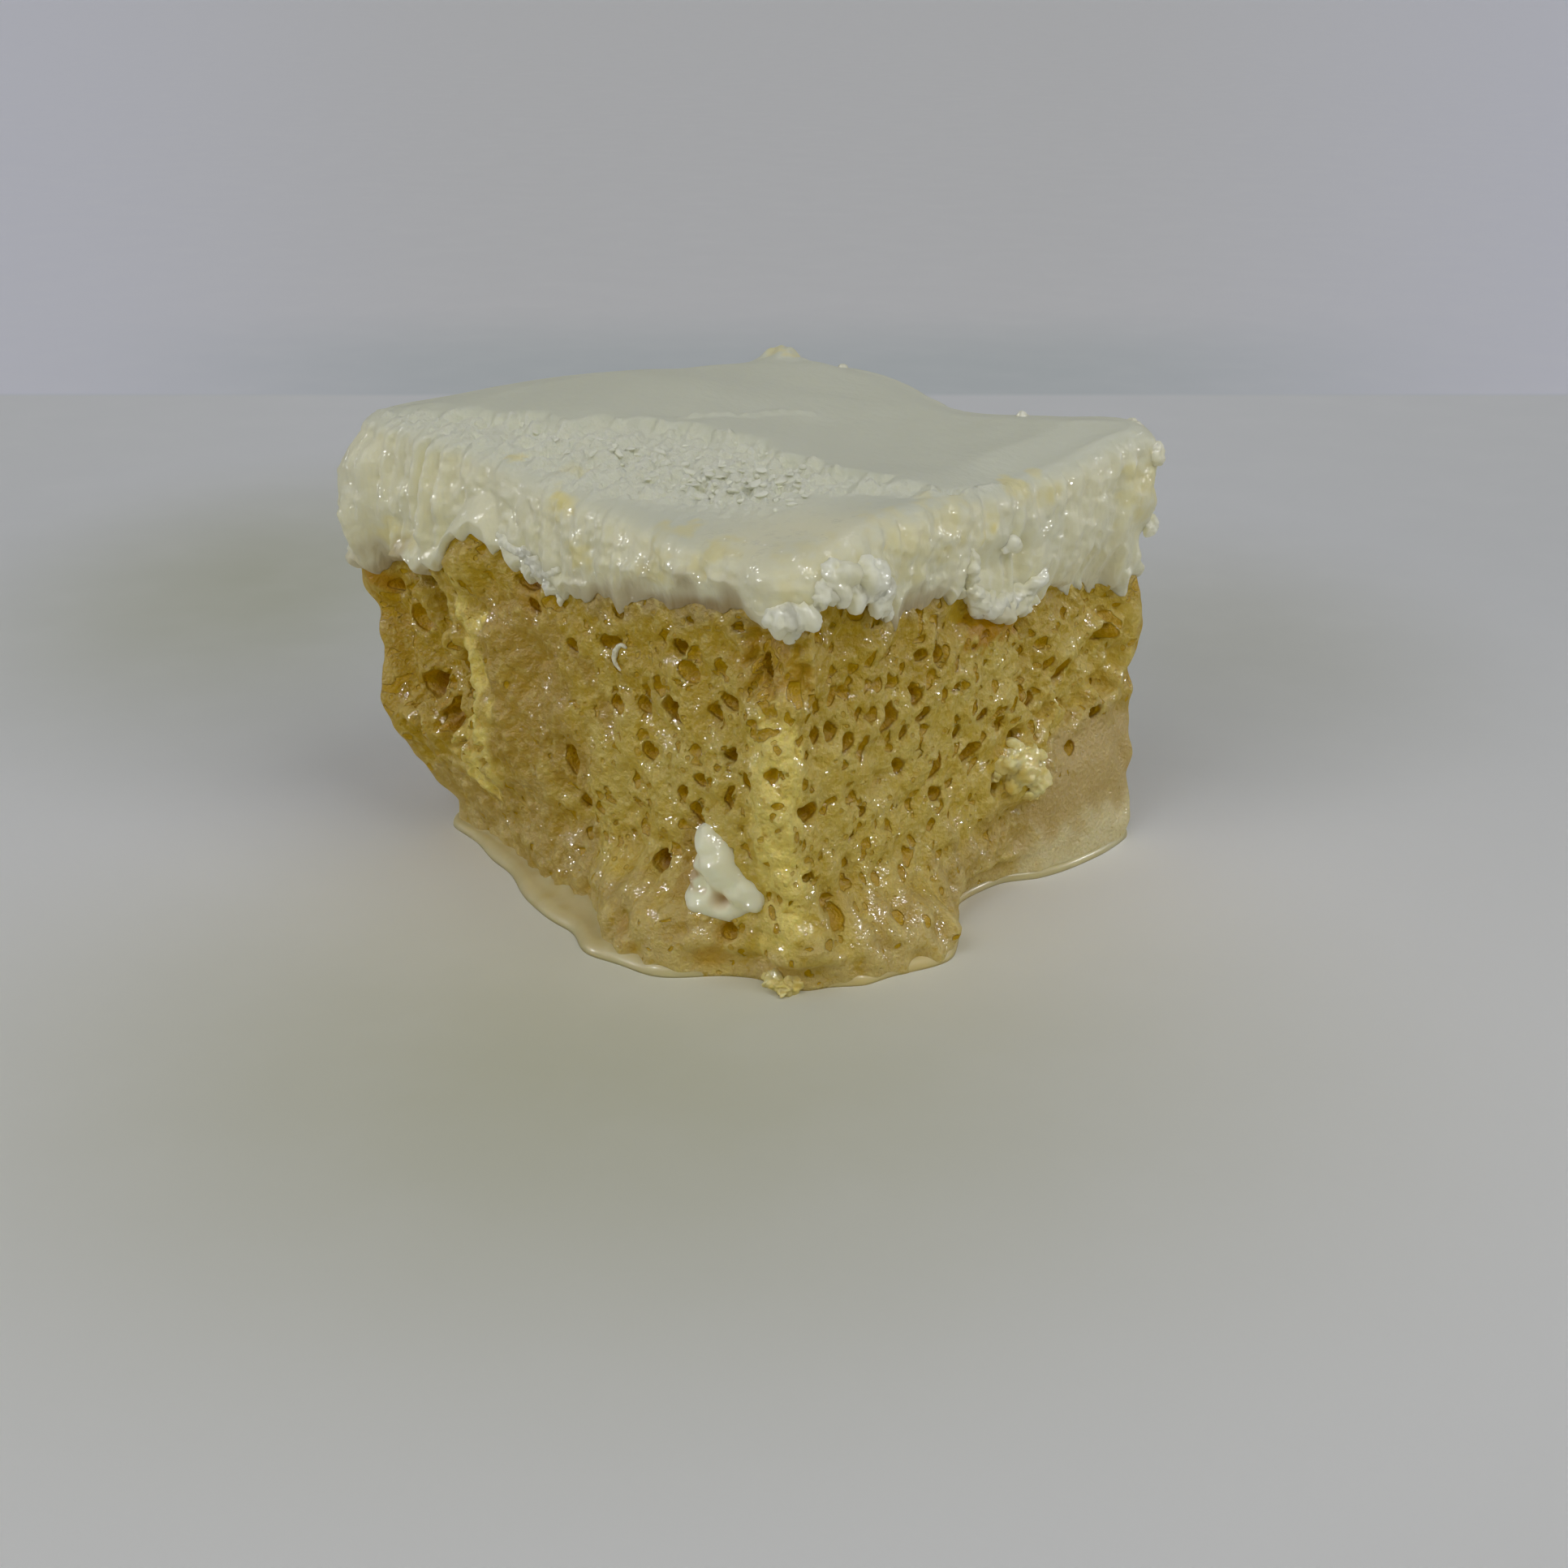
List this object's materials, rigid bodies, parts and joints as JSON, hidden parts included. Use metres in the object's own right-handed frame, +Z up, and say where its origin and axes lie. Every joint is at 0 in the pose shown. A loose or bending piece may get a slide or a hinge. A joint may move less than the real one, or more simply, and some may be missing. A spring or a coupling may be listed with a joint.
{
  "type": "tres leches cake",
  "caption": "Square portion of tres leches cake: open, milk-soaked sponge under whipped frosting with torn edges, run-out milk round its foot and a dab of frosting low on one side.",
  "frame": {"origin": "on the surface that the cake stands on, under the middle of the sponge", "axes": "+Z up; -Y and +X are the two cut sides that meet at the near corner; the sides of the portion run along X and Y"},
  "size_m": [0.0797, 0.0743, 0.054],
  "materials": {
    "sponge": "wet open crumb, golden yellow, paler and tan where it is soaked through",
    "frosting": "smooth whipped frosting, off-white, satin with a wet sheen at its torn edges",
    "milk": "glossy cream-coloured milk"
  },
  "bodies": {
    "root": {"sponge": "sponge", "frosting": "frosting", "milk": "milk", "cream_dab": "frosting"}
  },
  "joints": []
}
